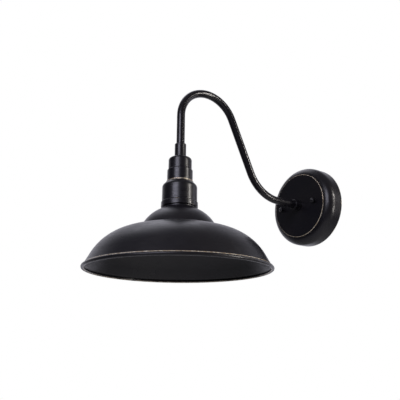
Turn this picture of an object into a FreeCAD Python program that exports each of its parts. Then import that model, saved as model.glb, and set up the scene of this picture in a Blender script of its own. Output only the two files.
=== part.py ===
"""Gooseneck wall sconce: a round canopy on a wall bracket, a bent tube arm, a stepped socket
housing and a wide bowl shade, with the lampholder, fixings and wiring inside.

Frame: the wall is the plane y = 0, the canopy's centre is the origin, the arm leaves the wall
along -Y and +Z is up.  All sizes are millimetres.
"""
import math
import os

import FreeCAD
import Part

V = FreeCAD.Vector
OUT = "parts"

# ---- fits ---------------------------------------------------------------------------------
THREAD_GAP = 0.05        # radial gap of a screwed or brazed round fit, drawn without its thread
LOOSE_GAP = 0.4          # radial gap where a part only passes through a hole

# ---- canopy and wall bracket --------------------------------------------------------------
CANOPY_DEPTH = 30.0      # wall to the flat front face
CANOPY_FACE_RADIUS = 53.8
CANOPY_RADIUS = 66.3
CANOPY_SHEET = 1.2
CANOPY_STEP = 0.9        # short straight step behind the face's edge
CANOPY_LEDGE = 0.7       # ledge between that step and the rounded flank
CANOPY_SKIRT = 15.0      # straight part of the flank, at the wall
CANOPY_EDGE_ROUND = 0.7
BRACKET_LENGTH = 92.0
BRACKET_WIDTH = 20.0
BRACKET_THICKNESS = 2.0
WALL_SLOT_SPACING = 44.0
WALL_SLOT_LENGTH = 12.0
WALL_SLOT_WIDTH = 4.5
STUD_SPACING = 72.0
STUD_RADIUS = 2.0
STUD_PROUD = 7.5         # stud in front of the canopy's face
STUD_NUT_FLATS = 7.0
STUD_NUT_HEIGHT = 3.0
BALL_RADIUS = 3.9
BALL_NECK_RADIUS = 3.0
BALL_NECK_LENGTH = 1.6
BALL_HOLE_SPARE = 0.6    # the blind hole runs this far past the stud's end
NUT_WASHER_RADIUS = 4.6
NUT_WASHER_THICKNESS = 0.8
GROUND_SCREW_X = 11.0
GROUND_SCREW_RADIUS = 1.8
GROUND_SCREW_HEAD_RADIUS = 3.8
GROUND_SCREW_HEAD_HEIGHT = 2.2

# ---- arm ----------------------------------------------------------------------------------
HEAD_REACH = 267.0       # wall to the lamp head's upright axis
TUBE_RADIUS = 6.0
TUBE_WALL = 1.0
ARM_SPREAD = 189.0       # start of the lower bend to the lamp head's axis
LOWER_BEND_RADIUS = 62.0
RISE_ANGLE = 66.0        # slope of the straight rise, degrees above level
UPPER_BEND_RADIUS = 50.0
FITTING_RADIUS = 8.25    # arm sleeve and head collar
SLEEVE_LENGTH = 13.0
COLLAR_LENGTH = 22.0
SLEEVE_SEAT = 6.0        # depth that the tube enters the sleeve
COLLAR_SEAT = 10.0       # depth that the tube enters the collar
FITTING_ROUND = 0.8
NIPPLE_RADIUS = 5.0
NIPPLE_BORE_RADIUS = 3.5
NIPPLE_ENTRY = 6.0       # nipple thread inside a sleeve or collar
NIPPLE_PROUD = 2.0       # nipple showing past the canopy's nut
HEX_FLATS = 14.0
HEX_HEIGHT = 4.0
LOCK_WASHER_RADIUS = 9.0
LOCK_WASHER_THICKNESS = 1.0
LOCK_WASHER_TEETH = 12

# ---- lamp head ----------------------------------------------------------------------------
HEAD_TOP = 30.2          # top of the neck cap above the arm's level run
HEAD_SHEET = 1.2
CAP_RADIUS = 16.6
CAP_SHOULDER = 4.0
CAP_BARREL = 17.7        # upper barrel's length
CAP_RING_RADIUS = 18.1
CAP_RING = 18.0          # lower ring's length
CAP_RING_ROUND = 1.6
SPIGOT_CHAMFER = 2.8     # clears the rounding inside the cap
HOOD_LEDGE_RADIUS = 19.2
HOOD_LEDGE_EDGE = 1.3    # upright edge of the ledge that the cap stands on
HOOD_FLARE = 5.6         # height of the sloping flare
HOOD_SHOULDER = 2.6      # rounding at the foot of the flare
HOOD_RADIUS = 24.6
HOOD_BAND_RADIUS = 25.7
HOOD_BAND = 6.4          # height of the band at the foot
HOOD_HEIGHT = 37.5       # ledge to foot
HOOD_BAND_SLOPE = 1.2
HOOD_LIP_RADIUS = 21.5   # hole inside the in-turned lip that the shade seats against

# ---- lampholder ---------------------------------------------------------------------------
HOLDER_RADIUS = 20.0     # over its outer thread
HOLDER_HEIGHT = 46.0
HOLDER_TOP = -16.0
HOLDER_CHAMFER = 2.0
SHELL_BORE_RADIUS = 13.2
SHELL_WALL = 0.5
SHELL_LENGTH = 24.5
SHELL_GAP = 0.3
SHELL_INSET = 1.5        # shell's mouth above the holder's foot
SHELL_EYE_RADIUS = 5.6
CONTACT_HEAD_RADIUS = 4.4
CONTACT_HEAD_HEIGHT = 1.4
CONTACT_STEM_RADIUS = 2.0
CONTACT_STEM_LENGTH = 6.5
CONTACT_TRAVEL = 1.2
CONTACT_SPARE = 0.4      # room past the contact's travel
STRAP_TOP = -4.0
STRAP_THICKNESS = 1.5
STRAP_WIDTH = 12.0
STRAP_HALF_SPAN = 12.0   # axis to the outside of a leg
STRAP_FOOT = 6.0
HEAD_NIPPLE_PROUD = 1.5  # nipple below the strap
STRAP_SCREW_RADIUS = 1.5
STRAP_SCREW_HEAD_RADIUS = 2.6
STRAP_SCREW_HEAD_HEIGHT = 1.8
STRAP_SCREW_DEPTH = 8.0
TERMINAL_X = 12.5
TERMINAL_TAB = (11.0, 7.0, 1.0)   # length, width, thickness
TERMINAL_SCREW_RADIUS = 1.7
TERMINAL_SCREW_HEAD_RADIUS = 2.9
TERMINAL_SCREW_HEAD_HEIGHT = 1.8
TERMINAL_SCREW_DEPTH = 6.0

# ---- shade --------------------------------------------------------------------------------
SHADE_RADIUS = 127.0
SHADE_SHEET = 1.0
SHADE_NECK_RADIUS = 23.4
SHADE_NECK = 2.2         # short upright neck under the hood
CROWN_INSET = 24.5       # rim to the corner between the crown and the skirt
SKIRT_INSET = 3.9        # rim to the foot of the skirt
DOME_CORNER = (45.2, 14.9)   # radius, and depth below the hood's foot, where the dome's two slopes meet
DOME_BEND = 50.0
CREASE = (51.9, 29.4)    # foot of the dome
CROWN_CORNER = (SHADE_RADIUS - CROWN_INSET, 44.4)   # where the crown's slope meets the skirt's
CROWN_BEND = 70.0
SKIRT_END = (SHADE_RADIUS - SKIRT_INSET, 82.4)
BEAD_RADIUS = 2.2        # wired bead round the mouth
BEAD_TOP = 84.7          # where the flange meets the bead's outer side, below the hood's foot
RING_TOP_RADIUS = 22.0
RING_GRIP_RADIUS = 25.5
RING_COLLAR = 4.5
RING_GRIP = 3.5
RING_SCALLOPS = 16
RING_SCALLOP_RADIUS = 1.6
RING_GAP = 0.08          # running gap of the ring on the holder's thread

# ---- wiring -------------------------------------------------------------------------------
LEAD_RADIUS = 1.1
LEAD_OFFSET = 1.35       # each supply lead lies this far to one side of the arm's centre plane
LEAD_BEND = 6.0
LEAD_DEPTH = 8.0         # leads lie this far from the wall inside the canopy
LEAD_RISE = 30.0         # end of each lead above or below the canopy's centre
HEAD_LEAD_BEND = 2.4
CONNECTOR_RADIUS = 4.5
CONNECTOR_TIP_RADIUS = 2.8
CONNECTOR_LENGTH = 19.0
CONNECTOR_ENTRY = 9.0    # how far a lead runs into its connector
BUSHING_BORE_RADIUS = 2.6
BUSHING_FLANGE_RADIUS = 4.8
BUSHING_FLANGE = 1.0
BUSHING_DEPTH = 4.0


# ---- worked-out places --------------------------------------------------------------------
CAP_FOOT = HEAD_TOP - CAP_BARREL - CAP_RING          # the cap stands on the hood's ledge here
HOOD_FOOT = CAP_FOOT - HOOD_HEIGHT                   # the hood stands on the shade here
SPIGOT_RADIUS = CAP_RADIUS - HEAD_SHEET - LOOSE_GAP
SPIGOT_TOP = HEAD_TOP - HEAD_SHEET
HEAD_NUT_TOP = SPIGOT_TOP - HEAD_SHEET - LOCK_WASHER_THICKNESS
LOWER_BEND_START = HEAD_REACH - ARM_SPREAD
HEAD_NIPPLE_FOOT = STRAP_TOP - STRAP_THICKNESS - HEAD_NIPPLE_PROUD
CANOPY_BACK = CANOPY_DEPTH - CANOPY_SHEET            # inside of the face, from the wall
ARM_NIPPLE_END = CANOPY_BACK - LOCK_WASHER_THICKNESS - HEX_HEIGHT - NIPPLE_PROUD
HOLDER_FOOT = HOLDER_TOP - HOLDER_HEIGHT
SHELL_FOOT = HOLDER_FOOT + SHELL_INSET
SHELL_ROOF = SHELL_FOOT + SHELL_LENGTH
CONTACT_TOP = SHELL_ROOF - SHELL_WALL + CONTACT_HEAD_HEIGHT   # its foot is level with the shell's roof
RING_TOP = HOOD_FOOT - SHADE_SHEET


# ---- shared helpers -----------------------------------------------------------------------
def head_point(radius, height):
    """A point of a profile that is turned about the lamp head's upright axis."""
    return V(radius, -HEAD_REACH, height)


def wall_point(radius, depth):
    """A point of a profile that is turned about the canopy's axis; depth is measured from the wall."""
    return V(radius, -depth, 0)


def line(a, b):
    return Part.LineSegment(a, b).toShape()


def arc(a, through, b):
    return Part.Arc(a, through, b).toShape()


def polygon(place, points):
    corners = [place(*p) for p in points]
    return Part.Face(Part.makePolygon(corners + corners[:1]))


def turn_on_head(face):
    return face.revolve(V(0, -HEAD_REACH, 0), V(0, 0, 1), 360)


def turn_on_wall(face):
    return face.revolve(V(0, 0, 0), V(0, 1, 0), 360)


def head_ring(inner, outer, low, high):
    """A plain ring or disc about the lamp head's axis."""
    return turn_on_head(polygon(head_point, [(inner, low), (outer, low), (outer, high), (inner, high)]))


def wall_ring(inner, outer, near, far):
    """A plain ring or disc about the canopy's axis, between two distances from the wall."""
    return turn_on_wall(polygon(wall_point, [(inner, near), (outer, near), (outer, far), (inner, far)]))


def hexagon(flats, height, base, direction):
    """A hexagonal prism that stands on base along direction."""
    side = V(1, 0, 0)
    other = direction.cross(side)
    corner_radius = flats / math.sqrt(3)
    corners = []
    for k in range(6):
        angle = math.radians(60 * k)
        reach = side * (corner_radius * math.cos(angle))
        corners.append(base + reach + other * (corner_radius * math.sin(angle)))
    return Part.Face(Part.makePolygon(corners + corners[:1])).extrude(direction * height)


def rod(radius, start, direction, length):
    return Part.makeCylinder(radius, length, start, direction)


def sheet_between(outer, inner):
    """The closed section between an outer and an inner run of edges that go the same way."""
    start = line(outer[0].firstVertex(True).Point, inner[0].firstVertex(True).Point)
    end = line(outer[-1].lastVertex(True).Point, inner[-1].lastVertex(True).Point)
    return Part.Face(Part.Wire(Part.__sortEdges__(outer + inner + [start, end])))


def tooth_washer(ring, centre, axis, side):
    """Cuts the teeth of a shakeproof washer out of a plain ring."""
    notch_radius = 1.1
    pitch_radius = LOCK_WASHER_RADIUS
    for k in range(LOCK_WASHER_TEETH):
        turn = FreeCAD.Rotation(axis, 360.0 * k / LOCK_WASHER_TEETH)
        at = centre + turn.multVec(side * pitch_radius) - axis * LOCK_WASHER_THICKNESS
        ring = ring.cut(rod(notch_radius, at, axis, 3 * LOCK_WASHER_THICKNESS))
    return ring


# ---- canopy and wall bracket --------------------------------------------------------------
def canopy_outline(inset):
    """The canopy's section, from the face's centre hole to the wall, inset from its outer surface."""
    face = CANOPY_DEPTH - inset
    face_edge = CANOPY_FACE_RADIUS - inset
    ledge = CANOPY_DEPTH - CANOPY_STEP - inset
    flank_start = CANOPY_FACE_RADIUS + CANOPY_LEDGE
    rise = CANOPY_RADIUS - flank_start
    drop = CANOPY_DEPTH - CANOPY_STEP - CANOPY_SKIRT
    flank_radius = (rise ** 2 + drop ** 2) / (2 * rise)
    centre_r = CANOPY_RADIUS - flank_radius
    radius = flank_radius - inset
    start_angle = math.acos((flank_start - centre_r) / flank_radius)
    if inset:
        start_angle = math.asin((ledge - CANOPY_SKIRT) / radius)
    start = (centre_r + radius * math.cos(start_angle), CANOPY_SKIRT + radius * math.sin(start_angle))
    middle = (centre_r + radius * math.cos(start_angle / 2),
              CANOPY_SKIRT + radius * math.sin(start_angle / 2))
    skirt = (CANOPY_RADIUS - inset, CANOPY_SKIRT)
    hole = NIPPLE_RADIUS + LOOSE_GAP
    round_ = CANOPY_EDGE_ROUND
    diagonal = round_ * (1 - math.sqrt(0.5))
    return [
        line(wall_point(hole, face), wall_point(face_edge - round_, face)),
        arc(wall_point(face_edge - round_, face), wall_point(face_edge - diagonal, face - diagonal),
            wall_point(face_edge, face - round_)),
        line(wall_point(face_edge, face - round_), wall_point(face_edge, ledge)),
        line(wall_point(face_edge, ledge), wall_point(*start)),
        arc(wall_point(*start), wall_point(*middle), wall_point(*skirt)),
        line(wall_point(*skirt), wall_point(CANOPY_RADIUS - inset, 0)),
    ]


def canopy():
    shell = turn_on_wall(sheet_between(canopy_outline(0), canopy_outline(CANOPY_SHEET)))
    for side in (-1, 1):
        at = V(side * STUD_SPACING / 2, 0, 0)
        shell = shell.cut(rod(STUD_RADIUS + LOOSE_GAP, at, V(0, -1, 0), CANOPY_DEPTH + 1))
    return shell


def slot(centre_x):
    """A round-ended slot through the bracket, long along X."""
    half = (WALL_SLOT_LENGTH - WALL_SLOT_WIDTH) / 2
    radius = WALL_SLOT_WIDTH / 2
    reach = 3 * BRACKET_THICKNESS
    back = -2 * BRACKET_THICKNESS
    box = Part.makeBox(2 * half, reach, 2 * radius, V(centre_x - half, back, -radius))
    ends = [rod(radius, V(centre_x + side * half, back, 0), V(0, 1, 0), reach) for side in (-1, 1)]
    return box.fuse(ends)


def wall_bracket():
    length, width, thick = BRACKET_LENGTH, BRACKET_WIDTH, BRACKET_THICKNESS
    bar = Part.makeBox(length, thick, width, V(-length / 2, -thick, -width / 2))
    upright = [e for e in bar.Edges if abs(e.Length - thick) < 1e-6]
    bar = bar.makeFillet(width / 4, upright)
    holes = [slot(side * WALL_SLOT_SPACING / 2) for side in (-1, 1)]
    through = V(0, 1, 0)
    back = V(0, -2 * thick, 0)
    reach = 3 * thick
    holes.append(rod(GROUND_SCREW_RADIUS + THREAD_GAP, back + V(GROUND_SCREW_X, 0, 0), through, reach))
    for side in (-1, 1):
        centre = back + V(side * STUD_SPACING / 2, 0, 0)
        holes.append(rod(STUD_RADIUS + THREAD_GAP, centre, through, reach))
    for hole in holes:
        bar = bar.cut(hole)
    return bar


def canopy_studs():
    length = CANOPY_DEPTH + STUD_PROUD
    return Part.makeCompound(
        [rod(STUD_RADIUS, V(side * STUD_SPACING / 2, 0, 0), V(0, -1, 0), length) for side in (-1, 1)])


def stud_lock_nuts():
    nuts = []
    for side in (-1, 1):
        base = V(side * STUD_SPACING / 2, -BRACKET_THICKNESS, 0)
        nut = hexagon(STUD_NUT_FLATS, STUD_NUT_HEIGHT, base, V(0, -1, 0))
        nuts.append(nut.cut(rod(STUD_RADIUS + THREAD_GAP, base, V(0, -1, 0), STUD_NUT_HEIGHT)))
    return Part.makeCompound(nuts)


def nut_washer(side):
    base = V(side * STUD_SPACING / 2, -CANOPY_DEPTH, 0)
    disc = rod(NUT_WASHER_RADIUS, base, V(0, -1, 0), NUT_WASHER_THICKNESS)
    return disc.cut(rod(STUD_RADIUS + THREAD_GAP, base, V(0, -1, 0), NUT_WASHER_THICKNESS))


def ball_nut(side):
    """A round-headed cap nut: a short neck under a ball, with a blind threaded hole."""
    seat = CANOPY_DEPTH + NUT_WASHER_THICKNESS
    centre_depth = seat + BALL_NECK_LENGTH + math.sqrt(BALL_RADIUS ** 2 - BALL_NECK_RADIUS ** 2)
    x = side * STUD_SPACING / 2
    neck = rod(BALL_NECK_RADIUS, V(x, -seat, 0), V(0, -1, 0), centre_depth - seat)
    ball = Part.makeSphere(BALL_RADIUS, V(x, -centre_depth, 0))
    hole_depth = STUD_PROUD - NUT_WASHER_THICKNESS + BALL_HOLE_SPARE
    hole = rod(STUD_RADIUS + THREAD_GAP, V(x, -seat, 0), V(0, -1, 0), hole_depth)
    return neck.fuse(ball).cut(hole)


def ground_screw():
    start = V(GROUND_SCREW_X, 0, 0)
    head_base = BRACKET_THICKNESS + 2 * LEAD_RADIUS + 2 * THREAD_GAP
    shank = rod(GROUND_SCREW_RADIUS, start, V(0, -1, 0), head_base)
    seat = start - V(0, head_base, 0)
    head = rod(GROUND_SCREW_HEAD_RADIUS, seat, V(0, -1, 0), GROUND_SCREW_HEAD_HEIGHT)
    slot_depth = GROUND_SCREW_HEAD_HEIGHT / 2
    corner = V(GROUND_SCREW_X - GROUND_SCREW_HEAD_RADIUS, -head_base - GROUND_SCREW_HEAD_HEIGHT, -0.4)
    cut = Part.makeBox(2 * GROUND_SCREW_HEAD_RADIUS, slot_depth, 0.8, corner)
    return shank.fuse(head).cut(cut)


# ---- arm ----------------------------------------------------------------------------------
def arm_corners():
    """The tangent points of the arm's centre line, as (depth from the wall, height) pairs."""
    rise = math.radians(RISE_ANGLE)
    corner = LOWER_BEND_START + LOWER_BEND_RADIUS * math.tan(rise / 2)
    along = (math.cos(rise), math.sin(rise))
    outward = (-math.sin(rise), math.cos(rise))      # from the rise towards the upper bend's outside
    rise_start = (corner + (corner - LOWER_BEND_START) * along[0], (corner - LOWER_BEND_START) * along[1])
    centre_depth = HEAD_REACH - UPPER_BEND_RADIUS
    gap = UPPER_BEND_RADIUS + (centre_depth - corner) * outward[0]
    centre = (centre_depth, -gap / outward[1])
    rise_end = (centre[0] + UPPER_BEND_RADIUS * outward[0], centre[1] + UPPER_BEND_RADIUS * outward[1])
    return rise_start, rise_end, centre


def arm_path(start_depth, end_height, offset_x=0.0):
    """The arm's centre line from start_depth off the wall to end_height, moved sideways by offset_x."""
    def at(pair):
        return V(offset_x, -pair[0], pair[1])
    rise_start, rise_end, centre = arm_corners()
    half = math.radians(RISE_ANGLE) / 2
    lower_middle = (LOWER_BEND_START + LOWER_BEND_RADIUS * math.sin(half),
                    LOWER_BEND_RADIUS * (1 - math.cos(half)))
    from_angle = math.radians(90 + RISE_ANGLE)
    middle_angle = from_angle / 2
    upper_middle = (centre[0] + UPPER_BEND_RADIUS * math.cos(middle_angle),
                    centre[1] + UPPER_BEND_RADIUS * math.sin(middle_angle))
    drop_start = (HEAD_REACH, centre[1])
    return [
        line(at((start_depth, 0)), at((LOWER_BEND_START, 0))),
        arc(at((LOWER_BEND_START, 0)), at(lower_middle), at(rise_start)),
        line(at(rise_start), at(rise_end)),
        arc(at(rise_end), at(upper_middle), at(drop_start)),
        line(at(drop_start), at((HEAD_REACH, end_height))),
    ]


def swept(radius, edges, start, direction):
    """A round bar of one radius along a smooth run of edges."""
    section = Part.Wire(Part.Circle(start, direction, radius).toShape())
    return Part.Wire(edges).makePipeShell([section], True, False)


def arm_tube():
    start_depth = CANOPY_DEPTH + SLEEVE_LENGTH - SLEEVE_SEAT
    end_height = HEAD_TOP + COLLAR_LENGTH - COLLAR_SEAT
    edges = arm_path(start_depth, end_height)
    start = V(0, -start_depth, 0)
    outside = swept(TUBE_RADIUS, edges, start, V(0, -1, 0))
    return outside.cut(swept(TUBE_RADIUS - TUBE_WALL, edges, start, V(0, -1, 0)))


def fitting(ring, length, seat, base, mouth):
    """A turned sleeve that holds the tube in its mouth and the nipple's thread in its base."""
    solid = ring(0, FITTING_RADIUS, base, base + length)
    top = base + length
    mouth_edge = [e for e in solid.Edges if e.Closed and abs(mouth(e.CenterOfMass) - top) < 1e-6]
    solid = solid.makeFillet(FITTING_ROUND, mouth_edge)
    solid = solid.cut(ring(0, TUBE_RADIUS + THREAD_GAP, base + length - seat, base + length))
    return solid.cut(ring(0, NIPPLE_RADIUS + THREAD_GAP, base, base + length - seat))


def arm_sleeve():
    return fitting(wall_ring, SLEEVE_LENGTH, SLEEVE_SEAT, CANOPY_DEPTH, lambda p: -p.y)


def head_collar():
    return fitting(head_ring, COLLAR_LENGTH, COLLAR_SEAT, HEAD_TOP, lambda p: p.z)


def arm_nipple():
    return wall_ring(NIPPLE_BORE_RADIUS, NIPPLE_RADIUS, ARM_NIPPLE_END, CANOPY_DEPTH + NIPPLE_ENTRY)


def arm_lock_washer():
    foot = CANOPY_BACK - LOCK_WASHER_THICKNESS
    ring = wall_ring(NIPPLE_RADIUS + THREAD_GAP, LOCK_WASHER_RADIUS, foot, CANOPY_BACK)
    return tooth_washer(ring, V(0, -CANOPY_BACK, 0), V(0, 1, 0), V(1, 0, 0))


def arm_nut():
    near = CANOPY_BACK - LOCK_WASHER_THICKNESS
    nut = hexagon(HEX_FLATS, HEX_HEIGHT, V(0, -near, 0), V(0, 1, 0))
    return nut.cut(rod(NIPPLE_RADIUS + THREAD_GAP, V(0, -near, 0), V(0, 1, 0), HEX_HEIGHT))


# ---- lamp head ----------------------------------------------------------------------------
def cap_outline(inset):
    """The neck cap's section, from its top hole to its foot, inset from its outer surface."""
    top = HEAD_TOP - inset
    barrel = CAP_RADIUS - inset
    ring = CAP_RING_RADIUS - inset
    shoulder = CAP_SHOULDER - inset
    diagonal = shoulder * (1 - math.sqrt(0.5))
    step_top = HEAD_TOP - CAP_BARREL
    step_foot = step_top - (CAP_RING_RADIUS - CAP_RADIUS)
    hole = NIPPLE_RADIUS + LOOSE_GAP
    return [
        line(head_point(hole, top), head_point(barrel - shoulder, top)),
        arc(head_point(barrel - shoulder, top), head_point(barrel - diagonal, top - diagonal),
            head_point(barrel, top - shoulder)),
        line(head_point(barrel, top - shoulder), head_point(barrel, step_top)),
        line(head_point(barrel, step_top), head_point(ring, step_foot)),
        line(head_point(ring, step_foot), head_point(ring, CAP_FOOT)),
    ]


def neck_cap():
    cap = turn_on_head(sheet_between(cap_outline(0), cap_outline(HEAD_SHEET)))
    foot = [e for e in cap.Edges if e.Closed and abs(e.CenterOfMass.z - CAP_FOOT) < 1e-6
            and abs(e.BoundBox.XMax - CAP_RING_RADIUS) < 1e-6]
    return cap.makeFillet(min(CAP_RING_ROUND, HEAD_SHEET * 0.6), foot)


def hood_outline(inset):
    """The hood's section: spigot, ledge, flare, barrel and foot band, inset from its outer surface."""
    top = SPIGOT_TOP - inset
    spigot = SPIGOT_RADIUS - inset
    ledge = CAP_FOOT - inset
    ledge_edge = HOOD_LEDGE_RADIUS - inset
    flare_top = CAP_FOOT - HOOD_LEDGE_EDGE - inset
    flare_foot = CAP_FOOT - HOOD_LEDGE_EDGE - HOOD_FLARE
    barrel = HOOD_RADIUS - inset
    band = HOOD_BAND_RADIUS - inset
    band_top = HOOD_FOOT + HOOD_BAND
    hole = NIPPLE_RADIUS + LOOSE_GAP
    chamfer = SPIGOT_CHAMFER - inset * (2 - math.sqrt(2))
    points = [
        (hole, top),
        (spigot - chamfer, top),
        (spigot, top - chamfer),
        (spigot, ledge),
        (ledge_edge, ledge),
        (ledge_edge, flare_top),
    ]
    slope_r = barrel - ledge_edge
    slope_z = flare_top - flare_foot
    slope = math.hypot(slope_r, slope_z)
    back = HOOD_SHOULDER / slope
    round_start = (barrel - slope_r * back, flare_foot + slope_z * back)
    round_end = (barrel, flare_foot - HOOD_SHOULDER)
    bend = (math.pi / 2 - math.atan2(slope_z, slope_r)) / 2
    pull = HOOD_SHOULDER * math.tan(bend / 2) / math.cos(bend)
    chord = V(round_end[0] - round_start[0], round_end[1] - round_start[1], 0)
    chord.normalize()
    middle = ((round_start[0] + round_end[0]) / 2 - chord.y * pull * math.cos(bend),
              (round_start[1] + round_end[1]) / 2 + chord.x * pull * math.cos(bend))
    edges = [line(head_point(*a), head_point(*b)) for a, b in zip(points, points[1:] + [round_start])]
    edges.append(arc(head_point(*round_start), head_point(*middle), head_point(*round_end)))
    rest = [round_end, (barrel, band_top + HOOD_BAND_SLOPE), (band, band_top),
            (band, HOOD_FOOT + inset), (HOOD_LIP_RADIUS, HOOD_FOOT + inset)]
    edges += [line(head_point(*a), head_point(*b)) for a, b in zip(rest, rest[1:])]
    return edges


def socket_hood():
    return turn_on_head(sheet_between(hood_outline(0), hood_outline(HEAD_SHEET)))


def head_nipple():
    return head_ring(NIPPLE_BORE_RADIUS, NIPPLE_RADIUS, HEAD_NIPPLE_FOOT, HEAD_TOP + NIPPLE_ENTRY)


def head_lock_washer():
    top = SPIGOT_TOP - HEAD_SHEET
    ring = head_ring(NIPPLE_RADIUS + THREAD_GAP, LOCK_WASHER_RADIUS, top - LOCK_WASHER_THICKNESS, top)
    return tooth_washer(ring, V(0, -HEAD_REACH, top - LOCK_WASHER_THICKNESS), V(0, 0, 1), V(1, 0, 0))


def hex_on_head(top):
    """A hexagonal nut on the head's nipple with its upper face at top."""
    base = V(0, -HEAD_REACH, top - HEX_HEIGHT)
    nut = hexagon(HEX_FLATS, HEX_HEIGHT, base, V(0, 0, 1))
    return nut.cut(rod(NIPPLE_RADIUS + THREAD_GAP, base, V(0, 0, 1), HEX_HEIGHT))


def head_nut():
    return hex_on_head(HEAD_NUT_TOP)


def strap_jam_nut():
    return hex_on_head(STRAP_TOP + HEX_HEIGHT)


# ---- lampholder ---------------------------------------------------------------------------
def lampholder_strap():
    """A bridge over the lampholder: a plate on the nipple, two legs and two screwed feet."""
    foot_top = HOLDER_TOP + STRAP_THICKNESS
    reach = STRAP_HALF_SPAN + STRAP_FOOT
    inner = STRAP_HALF_SPAN - STRAP_THICKNESS
    plate_foot = STRAP_TOP - STRAP_THICKNESS
    outline = [(-reach, HOLDER_TOP), (-inner, HOLDER_TOP), (-inner, plate_foot),
               (inner, plate_foot), (inner, HOLDER_TOP), (reach, HOLDER_TOP), (reach, foot_top),
               (STRAP_HALF_SPAN, foot_top), (STRAP_HALF_SPAN, STRAP_TOP), (-STRAP_HALF_SPAN, STRAP_TOP),
               (-STRAP_HALF_SPAN, foot_top), (-reach, foot_top)]
    corners = [V(-STRAP_WIDTH / 2, -HEAD_REACH + y, z) for y, z in outline]
    strap = Part.Face(Part.makePolygon(corners + corners[:1])).extrude(V(STRAP_WIDTH, 0, 0))
    hole = NIPPLE_RADIUS + THREAD_GAP
    strap = strap.cut(head_ring(0, hole, STRAP_TOP - 2 * STRAP_THICKNESS, STRAP_TOP + 1))
    for side in (-1, 1):
        place = strap_screw_place(side)
        strap = strap.cut(rod(STRAP_SCREW_RADIUS + THREAD_GAP, place, V(0, 0, 1), 2 * STRAP_THICKNESS))
    return strap


def strap_screw_place(side):
    """Where a strap screw meets the lampholder's top."""
    return V(0, -HEAD_REACH + side * (STRAP_HALF_SPAN + STRAP_FOOT / 2), HOLDER_TOP)


def slotted_screw(place, radius, head_radius, head_height, under_head, depth):
    """An upright screw that goes depth below place, with its head starting under_head above it."""
    shank = rod(radius, place - V(0, 0, depth), V(0, 0, 1), depth + under_head)
    head = rod(head_radius, place + V(0, 0, under_head), V(0, 0, 1), head_height)
    slot_width = head_radius * 0.3
    cut = Part.makeBox(2 * head_radius, slot_width, head_height,
                       place + V(-head_radius, -slot_width / 2, under_head + head_height / 2))
    return shank.fuse(head).cut(cut)


def strap_screws():
    return Part.makeCompound(
        [slotted_screw(strap_screw_place(side), STRAP_SCREW_RADIUS, STRAP_SCREW_HEAD_RADIUS,
                       STRAP_SCREW_HEAD_HEIGHT, STRAP_THICKNESS, STRAP_SCREW_DEPTH) for side in (-1, 1)])


def lampholder_body():
    """The porcelain body: a round block with the screw shell's cavity and holes for its screws."""
    foot, top, radius, chamfer = HOLDER_FOOT, HOLDER_TOP, HOLDER_RADIUS, HOLDER_CHAMFER
    body = turn_on_head(polygon(head_point, [(0, foot), (radius, foot), (radius, top - chamfer),
                                             (radius - chamfer, top), (0, top)]))
    cavity = SHELL_BORE_RADIUS + SHELL_WALL + SHELL_GAP
    body = body.cut(head_ring(0, cavity, foot, SHELL_ROOF))
    recess_top = CONTACT_TOP + CONTACT_TRAVEL + CONTACT_SPARE
    body = body.cut(head_ring(0, CONTACT_HEAD_RADIUS + LOOSE_GAP, SHELL_ROOF, recess_top))
    stem_hole = CONTACT_STEM_RADIUS + LOOSE_GAP
    body = body.cut(head_ring(0, stem_hole, recess_top, recess_top + CONTACT_STEM_LENGTH))
    for side in (-1, 1):
        at = strap_screw_place(side) - V(0, 0, STRAP_SCREW_DEPTH + 1)
        body = body.cut(rod(STRAP_SCREW_RADIUS + THREAD_GAP, at, V(0, 0, 1), STRAP_SCREW_DEPTH + 1))
        at = V(side * TERMINAL_X, -HEAD_REACH, HOLDER_TOP - TERMINAL_SCREW_DEPTH - 1)
        body = body.cut(rod(TERMINAL_SCREW_RADIUS + THREAD_GAP, at, V(0, 0, 1), TERMINAL_SCREW_DEPTH + 1))
    return body


def screw_shell():
    outer = SHELL_BORE_RADIUS + SHELL_WALL
    tube = head_ring(SHELL_BORE_RADIUS, outer, SHELL_FOOT, SHELL_ROOF)
    roof = head_ring(SHELL_EYE_RADIUS, outer, SHELL_ROOF - SHELL_WALL, SHELL_ROOF)
    return tube.fuse(roof).removeSplitter()


def centre_contact():
    """The sprung centre contact: a button on a stem that slides in the porcelain."""
    head_top = CONTACT_TOP
    head_foot = head_top - CONTACT_HEAD_HEIGHT
    edge = head_top - CONTACT_HEAD_HEIGHT / 2
    stem_top = head_top + CONTACT_STEM_LENGTH
    return turn_on_head(polygon(head_point, [
        (0, head_foot), (CONTACT_HEAD_RADIUS * 0.7, head_foot), (CONTACT_HEAD_RADIUS, edge),
        (CONTACT_HEAD_RADIUS, head_top), (CONTACT_STEM_RADIUS, head_top), (CONTACT_STEM_RADIUS, stem_top),
        (0, stem_top)]))


def terminal(side):
    """A brass tab on the lampholder's top with its binding screw."""
    length, width, thick = TERMINAL_TAB
    centre = V(side * TERMINAL_X, -HEAD_REACH, HOLDER_TOP)
    inner_end = TERMINAL_X - length * 0.7
    tab = Part.makeBox(length, width, thick, V(0, -width / 2, 0))
    tab.translate(V(inner_end if side > 0 else -inner_end - length, -HEAD_REACH, HOLDER_TOP))
    tab = tab.cut(rod(TERMINAL_SCREW_RADIUS + THREAD_GAP, centre, V(0, 0, 1), thick))
    screw = slotted_screw(centre, TERMINAL_SCREW_RADIUS, TERMINAL_SCREW_HEAD_RADIUS,
                          TERMINAL_SCREW_HEAD_HEIGHT, thick, TERMINAL_SCREW_DEPTH)
    return Part.makeCompound([tab, screw])


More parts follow.
